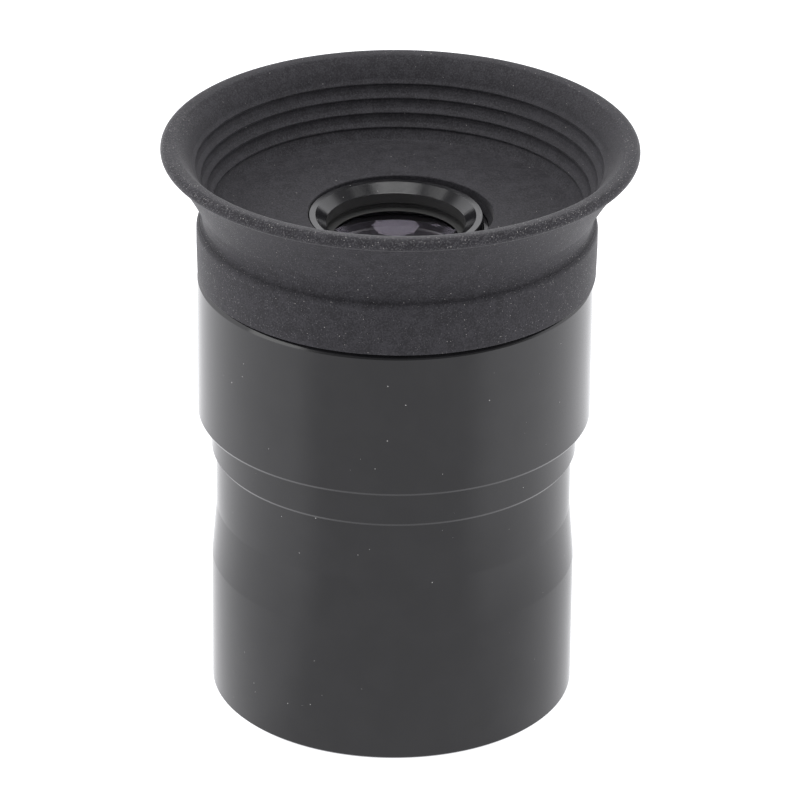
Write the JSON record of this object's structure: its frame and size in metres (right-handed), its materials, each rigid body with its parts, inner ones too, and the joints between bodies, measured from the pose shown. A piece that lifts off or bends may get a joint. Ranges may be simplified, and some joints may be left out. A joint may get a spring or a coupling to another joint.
{
  "type": "telescope eyepiece",
  "caption": "Telescope eyepiece with a plain cylindrical housing, a nosepiece barrel with a tapered safety undercut and a flared rubber eyecup ringed inside.",
  "frame": {"origin": "centre of the barrel's open end, where the part stands", "axes": "+Z along the optical axis towards the observer's eye; X and Y are square to it, and the part is the same all round"},
  "size_m": [0.0409, 0.041, 0.0514],
  "materials": {
    "anodised_metal": "satin black anodised, turned",
    "blackened_metal": "matt black anodised",
    "blackened_brass": "chemically blackened, matt",
    "eyecup_rubber": "matt moulded rubber with a fine grain",
    "coated_glass": "polished, purple antireflection coating",
    "optical_glass": "polished, clear"
  },
  "bodies": {
    "housing": {"housing": "anodised_metal", "lens_cell": "anodised_metal", "cell_lock_ring": "blackened_metal", "eye_lens": "coated_glass", "lens_spacer": "blackened_metal", "centre_lens_crown": "optical_glass", "centre_lens_flint": "optical_glass", "lens_retaining_ring": "blackened_metal"},
    "eyecup": {"eyecup_base": "eyecup_rubber"},
    "flare": {"eyecup_flare": "eyecup_rubber"},
    "stop": {"field_stop": "blackened_brass"},
    "barrel": {"barrel": "anodised_metal", "baffle_ring": "blackened_metal", "field_cell": "blackened_metal", "field_lens_concave": "optical_glass", "field_lens_convex": "coated_glass", "field_retaining_ring": "blackened_metal"}
  },
  "joints": [
    {"name": "eyecup_turn", "type": "hinge", "parent": "housing", "child": "eyecup", "pos_m": [0, 0, 0.0415], "axis": [0, 0, 1], "continuous": true},
    {"name": "flare_press", "type": "slide", "parent": "eyecup", "child": "flare", "axis": [0, 0, -1], "range_m": [0, 0.003], "stiffness_N_per_m": 600, "deforming": ["eyecup_flare"]},
    {"name": "barrel_travel", "type": "slide", "parent": "housing", "child": "stop", "axis": [0, 0, -1], "range_m": [0, 0.00375]},
    {"name": "barrel_unscrew", "type": "hinge", "parent": "stop", "child": "barrel", "pos_m": [0, 0, 0.028], "axis": [0, 0, -1], "range_deg": [0, 1800]}
  ],
  "couplings": [
    {"joint": "barrel_travel", "follows": "barrel_unscrew", "m_per_rad": 0.00011937}
  ]
}
